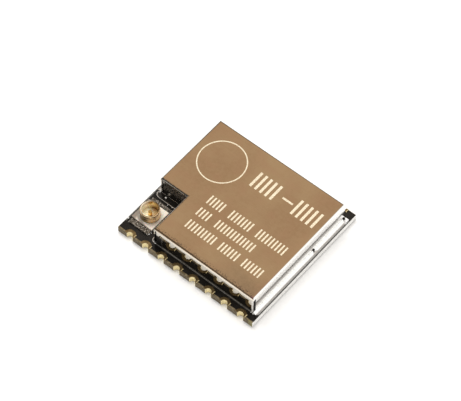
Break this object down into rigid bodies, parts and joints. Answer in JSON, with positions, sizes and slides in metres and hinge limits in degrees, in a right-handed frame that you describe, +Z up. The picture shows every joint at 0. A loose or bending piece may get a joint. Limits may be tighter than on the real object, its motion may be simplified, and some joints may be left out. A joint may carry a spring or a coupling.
{
  "type": "radio module",
  "caption": "Small shielded radio module: a castellated circuit board, a folded metal can with a cut-out corner, and a coax antenna socket in the cut-out.",
  "frame": {"origin": "middle of the board's outline, at the level that the underside pads stand on", "axes": "+X along the two castellated edges, away from the antenna socket; +Y from the socket's side towards the far pad row; +Z up, towards the can's top"},
  "size_m": [0.017, 0.016, 0.0033],
  "materials": {
    "solder_mask": "black glossy solder mask over glass-epoxy board",
    "pad_gold": "gold flash over copper, satin",
    "can_steel": "mirror-polished plated sheet",
    "tinned_land": "solder-tinned copper",
    "socket_plastic": "off-white moulded plastic",
    "socket_gold": "gold-plated, polished",
    "contact_gold": "gold-plated, polished",
    "chip_resin": "black moulded resin",
    "crystal_ceramic": "brown ceramic",
    "crystal_lid": "plated metal lid",
    "switch_resin": "black moulded resin",
    "capacitor_body": "tan ceramic with tinned ends",
    "inductor_body": "blue ceramic with tinned ends",
    "resistor_body": "black glaze with tinned ends"
  },
  "bodies": {
    "root": {"antenna_socket_contact": "contact_gold", "antenna_socket_housing": "socket_plastic", "antenna_socket_shell": "socket_gold", "antenna_switch": "switch_resin", "capacitor_01": "capacitor_body", "capacitor_02": "capacitor_body", "capacitor_03": "capacitor_body", "capacitor_04": "capacitor_body", "capacitor_05": "capacitor_body", "capacitor_06": "capacitor_body", "capacitor_07": "capacitor_body", "capacitor_08": "capacitor_body", "capacitor_09": "capacitor_body", "capacitor_10": "capacitor_body", "capacitor_11": "capacitor_body", "capacitor_12": "capacitor_body", "capacitor_13": "capacitor_body", "capacitor_14": "capacitor_body", "castellation_01": "pad_gold", "castellation_02": "pad_gold", "castellation_03": "pad_gold", "castellation_04": "pad_gold", "castellation_05": "pad_gold", "castellation_06": "pad_gold", "castellation_07": "pad_gold", "castellation_08": "pad_gold", "castellation_09": "pad_gold", "castellation_10": "pad_gold", "castellation_11": "pad_gold", "castellation_12": "pad_gold", "castellation_13": "pad_gold", "castellation_14": "pad_gold", "castellation_15": "pad_gold", "castellation_16": "pad_gold", "circuit_board": "solder_mask", "crystal_lid": "crystal_lid", "crystal_tray": "crystal_ceramic", "inductor_01": "inductor_body", "inductor_02": "inductor_body", "inductor_03": "inductor_body", "inductor_04": "inductor_body", "inductor_05": "inductor_body", "inductor_06": "inductor_body", "resistor_01": "resistor_body", "resistor_02": "resistor_body", "resistor_03": "resistor_body", "shield_can": "can_steel", "shield_land": "tinned_land", "transceiver_chip": "chip_resin"}
  },
  "joints": []
}
